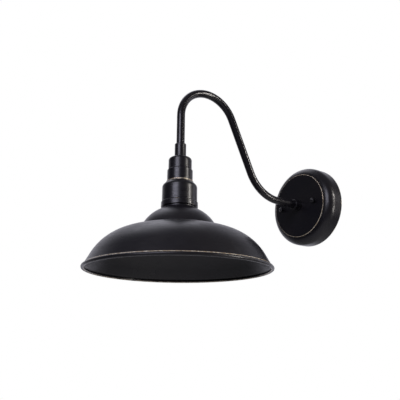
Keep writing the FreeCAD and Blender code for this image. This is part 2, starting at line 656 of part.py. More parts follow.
# ---- shade --------------------------------------------------------------------------------
def rounded(place, points, bends):
    """Lines through points, with an arc of the given radius at each inner point, 0 for a plain corner."""
    edges = []
    last = V(*points[0], 0)
    for k in range(1, len(points) - 1):
        corner = V(*points[k], 0)
        before = (V(*points[k - 1], 0) - corner).normalize()
        after = (V(*points[k + 1], 0) - corner).normalize()
        radius = bends[k - 1]
        if radius:
            half = before.getAngle(after) / 2
            reach = radius / math.tan(half)
            start = corner + before * reach
            end = corner + after * reach
            middle = corner + (before + after).normalize() * (radius / math.sin(half) - radius)
            edges.append(line(place(last.x, last.y), place(start.x, start.y)))
            edges.append(arc(place(start.x, start.y), place(middle.x, middle.y), place(end.x, end.y)))
            last = end
        else:
            edges.append(line(place(last.x, last.y), place(corner.x, corner.y)))
            last = corner
    end = V(*points[-1], 0)
    edges.append(line(place(last.x, last.y), place(end.x, end.y)))
    return edges


def shade_outline():
    """The shade's outer surface, from the seat's hole to the wired bead."""
    def below(pair):
        return (pair[0], HOOD_FOOT - pair[1])
    points = [
        (HOLDER_RADIUS + LOOSE_GAP, HOOD_FOOT),
        (SHADE_NECK_RADIUS, HOOD_FOOT),
        (SHADE_NECK_RADIUS, HOOD_FOOT - SHADE_NECK),
        below(DOME_CORNER),
        below(CREASE),
        below(CROWN_CORNER),
        below(SKIRT_END),
        below((SHADE_RADIUS - BEAD_RADIUS, BEAD_TOP)),
    ]
    return rounded(head_point, points, [0, 0, DOME_BEND, 0, CROWN_BEND, 0])


def shade():
    body = turn_on_head(Part.Wire(shade_outline()).makeOffset2D(-SHADE_SHEET, 0, True, True, False))
    middle = head_point(SHADE_RADIUS - BEAD_RADIUS, HOOD_FOOT - BEAD_TOP - BEAD_RADIUS)
    bead = turn_on_head(Part.Face(Part.Wire(Part.Circle(middle, V(0, 1, 0), BEAD_RADIUS).toShape())))
    return body.fuse(bead).removeSplitter()


def shade_ring():
    """The ring nut that clamps the shade under the hood, with finger scallops round its rim."""
    bore = HOLDER_RADIUS + RING_GAP
    grip_top = RING_TOP - RING_COLLAR
    grip_foot = grip_top - RING_GRIP
    outline = [(bore, RING_TOP), (RING_TOP_RADIUS, RING_TOP), (RING_TOP_RADIUS, grip_top),
               (RING_GRIP_RADIUS, grip_top), (RING_GRIP_RADIUS, grip_foot), (bore, grip_foot)]
    ring = turn_on_head(polygon(head_point, outline))
    for k in range(RING_SCALLOPS):
        angle = 2 * math.pi * k / RING_SCALLOPS
        reach = RING_GRIP_RADIUS + RING_SCALLOP_RADIUS * 0.4
        at = V(reach * math.cos(angle), -HEAD_REACH + reach * math.sin(angle), grip_foot - 1)
        ring = ring.cut(rod(RING_SCALLOP_RADIUS, at, V(0, 0, 1), RING_GRIP + 1))
    return ring


# ---- wiring -------------------------------------------------------------------------------
def supply_lead(side):
    """One insulated lead: from its connector behind the canopy, through the arm, to its terminal."""
    x = side * LEAD_OFFSET
    up = side
    turn_depth = LEAD_DEPTH + LEAD_BEND
    quarter = LEAD_BEND * (1 - math.sqrt(0.5))
    start = V(x, -LEAD_DEPTH, up * LEAD_RISE)
    turn = V(x, -LEAD_DEPTH, up * LEAD_BEND)
    edges = [
        line(start, turn),
        arc(turn, V(x, -LEAD_DEPTH - quarter, up * quarter), V(x, -turn_depth, 0)),
    ]
    tab_x = side * (TERMINAL_X - TERMINAL_TAB[0] * 0.7 + LEAD_RADIUS + THREAD_GAP)
    tab_top = HOLDER_TOP + TERMINAL_TAB[2]
    bend = HEAD_LEAD_BEND
    diagonal = bend * (1 - math.sqrt(0.5))
    run = HEAD_NIPPLE_FOOT - BUSHING_FLANGE - LEAD_RADIUS
    level = run - bend
    edges += arm_path(turn_depth, run, x)

    def at(px, pz):
        return V(px, -HEAD_REACH, pz)
    over_tab = at(tab_x - side * bend, level)
    edges += [
        arc(at(x, run), at(x + side * diagonal, level + diagonal), at(x + side * bend, level)),
        line(at(x + side * bend, level), over_tab),
        arc(over_tab, at(tab_x - side * diagonal, level - diagonal), at(tab_x, level - bend)),
        line(at(tab_x, level - bend), at(tab_x, tab_top)),
    ]
    return swept(LEAD_RADIUS, edges, start, V(0, 0, -up))


def ground_lead():
    """The earth lead: from under its screw on the bracket up to its connector."""
    near = BRACKET_THICKNESS + LEAD_RADIUS + THREAD_GAP
    shift = LEAD_DEPTH - near
    bend = LEAD_BEND * 0.75
    turn = math.acos(1 - shift / (2 * bend))
    first = GROUND_SCREW_HEAD_RADIUS + 1
    height = bend * math.sin(turn)

    def at(depth, z):
        return V(GROUND_SCREW_X, -depth, z)
    start = at(near, GROUND_SCREW_RADIUS + THREAD_GAP)
    last = first + 2 * height
    middle = at(near + shift / 2, first + height)
    side_step = bend * (1 - math.cos(turn / 2))
    up_step = bend * math.sin(turn / 2)
    edges = [
        line(start, at(near, first)),
        arc(at(near, first), at(near + side_step, first + up_step), middle),
        arc(middle, at(LEAD_DEPTH - side_step, last - up_step), at(LEAD_DEPTH, last)),
        line(at(LEAD_DEPTH, last), at(LEAD_DEPTH, LEAD_RISE)),
    ]
    return swept(LEAD_RADIUS, edges, start, V(0, 0, 1))


def connector(x, up):
    """A twist-on wire connector over the end of a lead."""
    mouth = LEAD_RISE - CONNECTOR_ENTRY
    tip = mouth + CONNECTOR_LENGTH
    direction = V(0, 0, up)
    start = V(x, -LEAD_DEPTH, up * mouth)
    body = Part.makeCone(CONNECTOR_RADIUS, CONNECTOR_TIP_RADIUS, tip - mouth, start, direction)
    bore = rod(LEAD_RADIUS + LOOSE_GAP, start, direction, CONNECTOR_ENTRY + 1)
    return body.cut(bore)


def bushing(place, direction):
    """A plastic bushing in a nipple's end, a flange and a sleeve. Direction points into the nipple."""
    outer_face = place - direction * BUSHING_FLANGE
    flange = rod(BUSHING_FLANGE_RADIUS, outer_face, direction, BUSHING_FLANGE)
    sleeve = rod(NIPPLE_BORE_RADIUS - THREAD_GAP, place, direction, BUSHING_DEPTH)
    bore = rod(BUSHING_BORE_RADIUS, outer_face, direction, BUSHING_FLANGE + BUSHING_DEPTH)
    return flange.fuse(sleeve).cut(bore)


def lead_bushings():
    return Part.makeCompound([
        bushing(V(0, -ARM_NIPPLE_END, 0), V(0, -1, 0)),
        bushing(V(0, -HEAD_REACH, HEAD_NIPPLE_FOOT), V(0, 0, 1)),
    ])


def build():
    """Every piece of the sconce by its node's name."""
    return {
        "canopy": canopy(),
        "wall_bracket": wall_bracket(),
        "canopy_studs": canopy_studs(),
        "stud_lock_nuts": stud_lock_nuts(),
        "nut_washer_left": nut_washer(-1),
        "nut_washer_right": nut_washer(1),
        "ball_nut_left": ball_nut(-1),
        "ball_nut_right": ball_nut(1),
        "ground_screw": ground_screw(),
        "arm_tube": arm_tube(),
        "arm_sleeve": arm_sleeve(),
        "arm_nipple": arm_nipple(),
        "arm_lock_washer": arm_lock_washer(),
        "arm_nut": arm_nut(),
        "head_collar": head_collar(),
        "head_nipple": head_nipple(),
        "head_lock_washer": head_lock_washer(),
        "head_nut": head_nut(),
        "neck_cap": neck_cap(),
        "socket_hood": socket_hood(),
        "lampholder_strap": lampholder_strap(),
        "strap_jam_nut": strap_jam_nut(),
        "strap_screws": strap_screws(),
        "lampholder_body": lampholder_body(),
        "screw_shell": screw_shell(),
        "centre_contact": centre_contact(),
        "line_terminal": terminal(1),
        "neutral_terminal": terminal(-1),
        "shade": shade(),
        "shade_ring": shade_ring(),
        "line_lead": supply_lead(1),
        "neutral_lead": supply_lead(-1),
        "ground_lead": ground_lead(),
        "line_connector": connector(LEAD_OFFSET, 1),
        "neutral_connector": connector(-LEAD_OFFSET, -1),
        "ground_connector": connector(GROUND_SCREW_X, 1),
        "lead_bushings": lead_bushings(),
    }


os.makedirs(OUT, exist_ok=True)
for name, shape in build().items():
    shape.exportStep(os.path.join(OUT, name + ".step"))
    print(f"{name:20s} solids {len(shape.Solids)}  volume {shape.Volume:10.1f}  valid {shape.isValid()}"
          f"  z {shape.BoundBox.ZMin:8.2f} {shape.BoundBox.ZMax:8.2f}")
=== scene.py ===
"""Gooseneck wall sconce: finishes, fine detail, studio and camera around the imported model."""
import math

import bpy
from mathutils import Matrix, Vector


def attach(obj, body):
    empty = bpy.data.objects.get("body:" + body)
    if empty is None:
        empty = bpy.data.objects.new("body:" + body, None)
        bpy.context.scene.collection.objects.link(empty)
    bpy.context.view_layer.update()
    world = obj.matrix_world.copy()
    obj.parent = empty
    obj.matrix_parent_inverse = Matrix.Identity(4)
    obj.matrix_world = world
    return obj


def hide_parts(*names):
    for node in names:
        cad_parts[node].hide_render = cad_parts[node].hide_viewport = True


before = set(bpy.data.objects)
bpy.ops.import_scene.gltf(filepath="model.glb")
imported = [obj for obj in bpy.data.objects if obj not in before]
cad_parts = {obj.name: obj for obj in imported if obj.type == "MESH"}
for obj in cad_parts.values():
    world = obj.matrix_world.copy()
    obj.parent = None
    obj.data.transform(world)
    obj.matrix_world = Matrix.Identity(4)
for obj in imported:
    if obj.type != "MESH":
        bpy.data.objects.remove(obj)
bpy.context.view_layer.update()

MM = 0.001

# ---- places on the sconce, in millimetres --------------------------------------------------
HEAD_REACH = 267.0          # wall to the lamp head's upright axis
CANOPY_RADIUS = 66.3
CANOPY_DEPTH = 30.0
CANOPY_FACE_RADIUS = 53.8   # outer edge of the flat face
CANOPY_STEP = 0.9           # short straight step behind the face's edge
CANOPY_LEDGE = 0.7          # ledge between that step and the rounded flank
FITTING_RADIUS = 8.25       # arm sleeve and head collar
SLEEVE_LENGTH = 13.0
HEAD_TOP = 30.2
COLLAR_LENGTH = 22.0
CAP_FOOT = -5.5
CAP_RING_TOP = 12.5         # top of the cap's lower ring
CAP_RING_RADIUS = 18.1
HOOD_LEDGE_RADIUS = 19.2
HOOD_FOOT = -43.0
HOOD_BAND = 6.4             # height of the band round the hood's foot
HOOD_BAND_RADIUS = 25.7
CREASE_RADIUS = 51.9        # where the shade's dome meets its crown
CREASE_DROP = 29.4
SHADE_RADIUS = 127.0
BEAD_HEIGHT = -129.9        # middle of the wired bead
HOLDER_TOP, HOLDER_FOOT = -16.0, -62.0
HOLDER_WALL = 19.75         # middle of the holder's outside thread
HOLDER_THREAD_TOP = -44.0
WELL_RADIUS = 14.05         # the hollow in the holder that takes the screw shell
SHELL_FOOT, SHELL_ROOF = -60.5, -36.0
SHELL_RADIUS = 13.0         # middle of the rolled thread on the shell's outside
SHELL_SHEET = 0.4
LEAD_X, GROUND_X = 1.35, 11.0   # sideways places of the leads behind the canopy
LEAD_DEPTH = 8.0            # wall to the leads behind the canopy

# ---- the photograph's camera ---------------------------------------------------------------
CAMERA_AZIMUTH, CAMERA_ELEVATION, CAMERA_ROLL = 55.53, -16.98, 0.24
CAMERA_PLACE = (523.0, -591.4, -219.6)
FOCAL_PIXELS, PICTURE_PIXELS = 460.0, 400.0
SENSOR_WIDTH = 36.0


# ---- node wiring ---------------------------------------------------------------------------
class Wiring:
    """Places nodes in one tree and joins them; a value may be a socket or a plain number or colour."""

    def __init__(self, tree):
        self.tree = tree

    def node(self, kind, inputs=None, **settings):
        made = self.tree.nodes.new(kind)
        for name, value in settings.items():
            setattr(made, name, value)
        for key, value in (inputs or {}).items():
            self.feed(made.inputs[key], value)
        return made

    def feed(self, socket, value):
        if isinstance(value, bpy.types.NodeSocket):
            self.tree.links.new(value, socket)
        else:
            socket.default_value = value

    def calc(self, operation, *values):
        made = self.tree.nodes.new("ShaderNodeMath")
        made.operation = operation
        for socket, value in zip(made.inputs, values):
            self.feed(socket, value)
        return made.outputs[0]

    def distance(self, a, b):
        return self.calc("SQRT", self.calc("ADD", self.calc("MULTIPLY", a, a), self.calc("MULTIPLY", b, b)))

    def blend(self, share, first, second):
        made = self.node("ShaderNodeMix", data_type="RGBA")
        self.feed(made.inputs[0], share)
        self.feed(made.inputs[6], first)
        self.feed(made.inputs[7], second)
        return made.outputs[2]

    def ramp(self, value, low, high, to_low=0.0, to_high=1.0):
        made = self.node("ShaderNodeMapRange", interpolation_type="SMOOTHSTEP")
        for key, number in (("Value", value), ("From Min", low), ("From Max", high),
                            ("To Min", to_low), ("To Max", to_high)):
            self.feed(made.inputs[key], number)
        return made.outputs[0]

    def noise(self, vector, scale, detail=2.0, roughness=0.5):
        made = self.node("ShaderNodeTexNoise", {"Vector": vector, "Scale": scale, "Detail": detail,
                                                "Roughness": roughness})
        return made.outputs["Fac"]


def shader_group(name, inputs, outputs):
    """An empty shader group with named sockets: inputs map a name to a default, outputs to a socket kind."""
    tree = bpy.data.node_groups.new(name, "ShaderNodeTree")
    for key, default in inputs.items():
        kind = "NodeSocketColor" if isinstance(default, tuple) else "NodeSocketFloat"
        tree.interface.new_socket(key, in_out="INPUT", socket_type=kind).default_value = default
    for key, kind in outputs.items():
        tree.interface.new_socket(key, in_out="OUTPUT", socket_type=kind)
    wire = Wiring(tree)
    return wire, wire.node("NodeGroupInput").outputs, wire.node("NodeGroupOutput").inputs


# ---- shared effects ------------------------------------------------------------------------
def make_turned_place():
    """Where a point lies on the turned parts: its distance from each axis and its place along it."""
    wire, _, out = shader_group("turned_place", {}, {
        "Head Radius": "NodeSocketFloat", "Height": "NodeSocketFloat", "Head Turn": "NodeSocketFloat",
        "Wall Radius": "NodeSocketFloat", "Depth": "NodeSocketFloat", "Wall Turn": "NodeSocketFloat"})
    split = wire.node("ShaderNodeSeparateXYZ", {0: wire.node("ShaderNodeTexCoord").outputs["Object"]})
    x, y, z = split.outputs
    reach = wire.calc("ADD", y, HEAD_REACH * MM)
    head = wire.distance(x, reach)
    wall = wire.distance(x, z)
    wire.feed(out["Head Radius"], wire.calc("MULTIPLY", head, 1000.0))
    wire.feed(out["Height"], wire.calc("MULTIPLY", z, 1000.0))
    wire.feed(out["Head Turn"], wire.calc("ARCTAN2", reach, x))
    wire.feed(out["Wall Radius"], wire.calc("MULTIPLY", wall, 1000.0))
    wire.feed(out["Depth"], wire.calc("MULTIPLY", y, -1000.0))
    wire.feed(out["Wall Turn"], wire.calc("ARCTAN2", z, x))
    return wire.tree


def make_worn_edge_highlight():
    """A broken line round a turned edge at one radius and place: enamel rubbed through to bronze there, and
    partly a painted highlight along the edge.
    """
    wire, given, out = shader_group("worn_edge_highlight", {
        "Radius": 0.0, "Along": 0.0, "Edge Radius": 50.0, "Edge Along": 0.0, "Width": 0.8, "Wear": 0.7},
        {"Mask": "NodeSocketFloat"})
    aside = wire.calc("SUBTRACT", given["Radius"], given["Edge Radius"])
    along = wire.calc("SUBTRACT", given["Along"], given["Edge Along"])
    away = wire.distance(aside, along)
    place = wire.node("ShaderNodeTexCoord").outputs["Object"]
    patches = wire.noise(place, 75.0, 3.0, 0.6)
    nicks = wire.noise(place, 700.0, 2.0, 0.6)
    ragged = wire.calc("ADD", away, wire.calc("MULTIPLY", wire.calc("SUBTRACT", nicks, 0.5), given["Width"]))
    core = wire.calc("MULTIPLY", given["Width"], 0.45)
    line = wire.ramp(ragged, core, given["Width"], 1.0, 0.0)
    low = wire.calc("SUBTRACT", 0.72, wire.calc("MULTIPLY", given["Wear"], 0.5))
    kept = wire.ramp(patches, low, wire.calc("ADD", low, 0.16))
    wire.feed(out["Mask"], wire.calc("MULTIPLY", line, kept))
    return wire.tree


def make_enamel_skin():
    """Sprayed satin enamel: faint mottling in colour and gloss, fine peel and a little settled dust."""
    wire, given, out = shader_group("enamel_skin", {
        "Colour": (0.012, 0.0115, 0.0135, 1.0), "Worn Colour": (0.02, 0.017, 0.015, 1.0),
        "Roughness": 0.4, "Peel": 1.0},
        {"Colour": "NodeSocketColor", "Roughness": "NodeSocketFloat", "Height": "NodeSocketFloat"})
    place = wire.node("ShaderNodeTexCoord").outputs["Object"]
    cloud = wire.noise(place, 22.0, 4.0, 0.55)
    spots = wire.noise(place, 520.0, 3.0, 0.55)
    peel = wire.noise(place, 1300.0, 2.0, 0.5)
    mottle = wire.ramp(cloud, 0.35, 0.7)
    colour = wire.blend(wire.calc("MULTIPLY", mottle, 0.55), given["Colour"], given["Worn Colour"])
    normal = wire.node("ShaderNodeNewGeometry").outputs["Normal"]
    up = wire.node("ShaderNodeSeparateXYZ", {0: normal}).outputs[2]
    dust = wire.calc("MULTIPLY", wire.ramp(up, 0.8, 1.0, 0.0, 0.010), wire.ramp(spots, 0.4, 0.7))
    wire.feed(out["Colour"], wire.blend(dust, colour, (0.30, 0.28, 0.25, 1.0)))
    broad_shift = wire.ramp(cloud, 0.3, 0.7, -0.02, 0.025)
    shift = wire.calc("ADD", broad_shift, wire.ramp(spots, 0.3, 0.7, -0.008, 0.008))
    wire.feed(out["Roughness"], wire.calc("ADD", given["Roughness"], shift))
    height = wire.calc("ADD", peel, wire.calc("MULTIPLY", spots, 0.6))
    wire.feed(out["Height"], wire.calc("MULTIPLY", height, given["Peel"]))
    return wire.tree


def make_turning_marks():
    """Marks left by the lathe under the enamel: short fine rings that run round the part."""
    wire, given, out = shader_group("turning_marks", {
        "Along": 0.0, "Turn": 0.0, "Radius": 20.0, "Pitch": 1.6},
        {"Height": "NodeSocketFloat", "Gloss": "NodeSocketFloat"})
    rows = wire.calc("DIVIDE", given["Along"], given["Pitch"])
    run = wire.calc("MULTIPLY", wire.calc("MULTIPLY", given["Turn"], given["Radius"]), 0.07)
    coarse_place = wire.node("ShaderNodeCombineXYZ", {0: rows, 1: run}).outputs[0]
    coarse = wire.noise(coarse_place, 1.0, 3.0, 0.65)
    fine_rows = wire.calc("MULTIPLY", rows, 3.7)
    fine_place = wire.node("ShaderNodeCombineXYZ", {0: fine_rows, 1: run, 2: 4.0}).outputs[0]
    fine = wire.noise(fine_place, 1.0, 2.0, 0.6)
    both = wire.calc("ADD", wire.calc("MULTIPLY", coarse, 0.7), wire.calc("MULTIPLY", fine, 0.3))
    wire.feed(out["Height"], both)
    wire.feed(out["Gloss"], wire.ramp(both, 0.35, 0.65))
    return wire.tree


def make_fine_grain():
    """Small even grain for plated, moulded and glazed pieces, with a soft variation in tone and gloss."""
    wire, given, out = shader_group("fine_grain", {
        "Colour": (0.5, 0.5, 0.5, 1.0), "Shade Colour": (0.3, 0.3, 0.3, 1.0), "Scale": 400.0,
        "Roughness": 0.4, "Spread": 0.1},
        {"Colour": "NodeSocketColor", "Roughness": "NodeSocketFloat", "Height": "NodeSocketFloat"})
    place = wire.node("ShaderNodeTexCoord").outputs["Object"]
    broad = wire.noise(place, wire.calc("MULTIPLY", given["Scale"], 0.15), 3.0, 0.6)
    small = wire.noise(place, given["Scale"], 3.0, 0.6)
    both = wire.calc("ADD", wire.calc("MULTIPLY", broad, 0.6), wire.calc("MULTIPLY", small, 0.4))
    mixed = wire.ramp(both, 0.36, 0.66)
    wire.feed(out["Colour"], wire.blend(mixed, given["Colour"], given["Shade Colour"]))
    swing = wire.calc("MULTIPLY", wire.calc("SUBTRACT", mixed, 0.5), given["Spread"])
    wire.feed(out["Roughness"], wire.calc("ADD", given["Roughness"], swing))
    wire.feed(out["Height"], small)
    return wire.tree


turned_place = make_turned_place()
worn_edge_highlight = make_worn_edge_highlight()
enamel_skin = make_enamel_skin()
turning_marks = make_turning_marks()
fine_grain = make_fine_grain()


# ---- finishes ------------------------------------------------------------------------------
def new_finish(name):
    """An empty material with a Principled shader joined to its output."""
    material = bpy.data.materials.new(name)
    material.use_nodes = True
    material.node_tree.nodes.clear()
    wire = Wiring(material.node_tree)
    skin = wire.node("ShaderNodeBsdfPrincipled")
    wire.feed(wire.node("ShaderNodeOutputMaterial").inputs["Surface"], skin.outputs[0])
    return material, wire, skin


def placed(wire, tree, **inputs):
    """Places a shared effect in a material with its own values; an underscore stands for a space."""
    made = wire.node("ShaderNodeGroup", node_tree=tree)
    for key, value in inputs.items():
        wire.feed(made.inputs[key.replace("_", " ")], value)
    return made.outputs


def relief(wire, height, strength, depth):
    """The normal of a bump that is depth metres deep."""
    return wire.node("ShaderNodeBump", {"Strength": strength, "Distance": depth, "Height": height}).outputs[0]


BLACK = (0.0058, 0.0054, 0.0074, 1.0)
WARM_BLACK = (0.0072, 0.0060, 0.0066, 1.0)
BRONZE = (0.40, 0.31, 0.20, 1.0)
PALE_BRONZE_AND_HIGHLIGHT = (0.74, 0.67, 0.53, 1.0)


def black_enamel(name, edges, marks=0.0, about="head", roughness=0.30, peel=1.0):
    """Satin black enamel on a turned or spun part, with rubbed bronze edges lightened to a pale tone that is
    partly a painted edge highlight; edges lists (radius, place along, width, wear) in mm.
    """
    material, wire, skin = new_finish(name)
    place = placed(wire, turned_place)
    radius, along, turn = ((place["Head Radius"], place["Height"], place["Head Turn"]) if about == "head"
                           else (place["Wall Radius"], place["Depth"], place["Wall Turn"]))
    coat = placed(wire, enamel_skin, Colour=BLACK, Worn_Colour=WARM_BLACK, Roughness=roughness, Peel=peel)
    mask = None
    for edge_radius, edge_along, width, wear in edges:
        one = placed(wire, worn_edge_highlight, Radius=radius, Along=along, Edge_Radius=edge_radius,
                     Edge_Along=edge_along, Width=width, Wear=wear)["Mask"]
        mask = one if mask is None else wire.calc("MAXIMUM", mask, one)
    height, gloss = coat["Height"], coat["Roughness"]
    if marks:
        lines = placed(wire, turning_marks, Along=along, Turn=turn, Radius=radius)
        cut = wire.calc("MULTIPLY", lines["Height"], 3.0 * marks)
        height = wire.calc("ADD", wire.calc("MULTIPLY", height, 0.25), cut)
        swing = wire.calc("MULTIPLY", wire.calc("SUBTRACT", lines["Gloss"], 0.5), 0.12)
        gloss = wire.calc("ADD", gloss, swing)
    colour = coat["Colour"]
    if mask is not None:
        # the edge lines: worn bronze, made pale and half metallic so that they also stand as painted
        # highlights
        tone = wire.noise(wire.node("ShaderNodeTexCoord").outputs["Object"], 320.0, 2.0)
        metal = wire.blend(wire.ramp(tone, 0.35, 0.65), BRONZE, PALE_BRONZE_AND_HIGHLIGHT)
        colour = wire.blend(mask, colour, metal)
        wire.feed(skin.inputs["Metallic"], wire.calc("MULTIPLY", mask, 0.5))
        gloss = wire.calc("ADD", gloss, wire.calc("MULTIPLY", mask, 0.08))
    wire.feed(skin.inputs["Base Color"], colour)
    wire.feed(skin.inputs["Roughness"], gloss)
    wire.feed(skin.inputs["Normal"], relief(wire, height, 0.5, 0.00003))
    skin.inputs["Specular IOR Level"].default_value = 0.34
    return material


def plain_finish(name, colour, shade, scale, roughness, spread, depth, metallic=0.0, coat=0.0, specular=0.5,
                 rings=0.0):
    """A plated, moulded or glazed finish with its own grain; rings is the pitch of cut thread lines in mm."""
    material, wire, skin = new_finish(name)
    grain = placed(wire, fine_grain, Colour=colour, Shade_Colour=shade, Scale=scale, Roughness=roughness,
                   Spread=spread)
    wire.feed(skin.inputs["Base Color"], grain["Colour"])
    wire.feed(skin.inputs["Roughness"], grain["Roughness"])
    height = grain["Height"]
    if rings:
        place = placed(wire, turned_place)
        lines = wire.calc("ADD", place["Depth"], place["Height"])
        wave = wire.calc("SINE", wire.calc("MULTIPLY", lines, 2 * math.pi / rings))
        height = wire.calc("ADD", wire.calc("MULTIPLY", height, 0.15), wave)
    wire.feed(skin.inputs["Normal"], relief(wire, height, 0.6, depth))
    skin.inputs["Metallic"].default_value = metallic
    skin.inputs["Coat Weight"].default_value = coat
    skin.inputs["Specular IOR Level"].default_value = specular
    return material


# the edges below place pale rubbed-bronze lines, partly painted highlights, on the canopy, the fittings, the
# cap, the hood and the shade
canopy_enamel = black_enamel("canopy_enamel", [
    (CANOPY_FACE_RADIUS - 0.1, CANOPY_DEPTH - 0.2, 0.72, 0.9),
    (CANOPY_FACE_RADIUS + CANOPY_LEDGE + 0.1, CANOPY_DEPTH - CANOPY_STEP, 0.4, 0.25),
    (CANOPY_RADIUS, 0.0, 0.8, 0.5)], about="wall")
arm_enamel = black_enamel("arm_enamel", [], roughness=0.24, peel=0.12)
sleeve_enamel = black_enamel("sleeve_enamel", [
    (FITTING_RADIUS - 0.15, CANOPY_DEPTH + SLEEVE_LENGTH - 0.2, 0.3, 0.15)], marks=0.3, about="wall")
collar_enamel = black_enamel("collar_enamel", [
    (FITTING_RADIUS - 0.25, HEAD_TOP + COLLAR_LENGTH - 0.2, 0.4, 0.35),
    (FITTING_RADIUS, HEAD_TOP, 0.4, 0.3)], marks=0.35)
cap_enamel = black_enamel("cap_enamel", [
    (CAP_RING_RADIUS - 0.2, CAP_RING_TOP - 1.0, 0.4, 0.3),
    (CAP_RING_RADIUS - 0.1, CAP_FOOT, 0.6, 0.5)], marks=1.0, roughness=0.33)
hood_enamel = black_enamel("hood_enamel", [
    (HOOD_LEDGE_RADIUS, CAP_FOOT, 0.75, 0.85),
    (HOOD_LEDGE_RADIUS, CAP_FOOT - 1.3, 0.45, 0.5),
    (HOOD_BAND_RADIUS - 0.1, HOOD_FOOT + HOOD_BAND, 0.4, 0.25),
    (HOOD_BAND_RADIUS, HOOD_FOOT, 0.4, 0.25)], marks=1.0, roughness=0.33)
# the shade's two bead lines are worn bronze along the bead's edges and partly a painted highlight there
shade_enamel = black_enamel("shade_enamel", [
    (SHADE_RADIUS - 2.7, BEAD_HEIGHT + 2.9, 0.62, 0.9),
    (SHADE_RADIUS - 3.6, BEAD_HEIGHT - 1.5, 0.5, 0.75),
    (CREASE_RADIUS, HOOD_FOOT - CREASE_DROP, 0.5, 0.2)], marks=0.05, roughness=0.34, peel=0.5)
ball_enamel = black_enamel("ball_nut_enamel", [], roughness=0.26, peel=0.4)
zinc = plain_finish(
    "zinc_plate", (0.60, 0.61, 0.60, 1), (0.42, 0.43, 0.43, 1), 700.0, 0.34, 0.16, 0.00002, metallic=1.0)
cut_zinc = plain_finish(
    "threaded_zinc", (0.58, 0.59, 0.58, 1), (0.36, 0.37, 0.37, 1),
    700.0, 0.36, 0.14, 0.00016, metallic=1.0, rings=0.9)
brass = plain_finish(
    "contact_brass", (0.78, 0.57, 0.24, 1), (0.55, 0.37, 0.14, 1),
    500.0, 0.28, 0.16, 0.00002, metallic=1.0)
nickel = plain_finish(
    "terminal_nickel", (0.68, 0.66, 0.60, 1), (0.5, 0.48, 0.43, 1),
    600.0, 0.26, 0.12, 0.00002, metallic=1.0)
porcelain_glaze = plain_finish(
    "porcelain_glaze", (0.84, 0.82, 0.76, 1), (0.76, 0.73, 0.66, 1), 120.0, 0.16, 0.08, 0.00004, coat=0.5)
phenolic = plain_finish(
    "ring_phenolic", (0.030, 0.026, 0.024, 1), (0.055, 0.045, 0.038, 1), 900.0, 0.36, 0.14, 0.00004)
lead_black = plain_finish(
    "lead_black", (0.028, 0.028, 0.030, 1), (0.05, 0.05, 0.05, 1), 500.0, 0.42, 0.1, 0.00003)
lead_white = plain_finish(
    "lead_white", (0.80, 0.79, 0.75, 1), (0.68, 0.66, 0.61, 1), 500.0, 0.42, 0.1, 0.00003)
lead_green = plain_finish(
    "lead_green", (0.05, 0.33, 0.12, 1), (0.03, 0.22, 0.08, 1), 500.0, 0.42, 0.1, 0.00003)
connector_orange = plain_finish(
    "connector_orange", (0.78, 0.26, 0.04, 1), (0.6, 0.18, 0.03, 1), 700.0, 0.4, 0.12, 0.00004)
connector_green = plain_finish(
    "connector_green", (0.06, 0.38, 0.14, 1), (0.04, 0.27, 0.1, 1), 700.0, 0.4, 0.12, 0.00004)
nylon = plain_finish(
    "bushing_nylon", (0.04, 0.04, 0.042, 1), (0.07, 0.07, 0.07, 1), 600.0, 0.45, 0.1, 0.00003)
green_zinc = plain_finish(
    "ground_screw_green", (0.04, 0.27, 0.10, 1), (0.02, 0.16, 0.06, 1),
    600.0, 0.34, 0.14, 0.00002, metallic=0.5)

FINISHES = {
    canopy_enamel: ("canopy",),
    arm_enamel: ("arm_tube",),
    sleeve_enamel: ("arm_sleeve",),
    collar_enamel: ("head_collar",),
    cap_enamel: ("neck_cap",),
    hood_enamel: ("socket_hood",),
    shade_enamel: ("shade",),
    ball_enamel: ("ball_nut_left", "ball_nut_right", "nut_washer_left", "nut_washer_right"),
    zinc: ("wall_bracket", "stud_lock_nuts", "arm_lock_washer", "arm_nut", "head_lock_washer", "head_nut",
           "lampholder_strap", "strap_jam_nut", "strap_screws"),
    cut_zinc: ("canopy_studs", "arm_nipple", "head_nipple"),
    green_zinc: ("ground_screw",),
    brass: ("screw_shell", "centre_contact", "line_terminal"),
    nickel: ("neutral_terminal",),
    porcelain_glaze: ("lampholder_body",),
    phenolic: ("shade_ring",),
    lead_black: ("line_lead",),
    lead_white: ("neutral_lead",),
    lead_green: ("ground_lead",),
    connector_orange: ("line_connector", "neutral_connector"),
    connector_green: ("ground_connector",),
    nylon: ("lead_bushings",),
}
for finish, names in FINISHES.items():
    for name in names:
        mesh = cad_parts[name].data
        mesh.materials.clear()
        mesh.materials.append(finish)


# ---- turned detail -------------------------------------------------------------------------
def rows_between(start, end, step):
    """Profile points from start to end, about step apart."""
    count = max(1, round(math.dist(start, end) / step))
    return [(start[0] + (end[0] - start[0]) * k / count, start[1] + (end[1] - start[1]) * k / count)
            for k in range(count)]


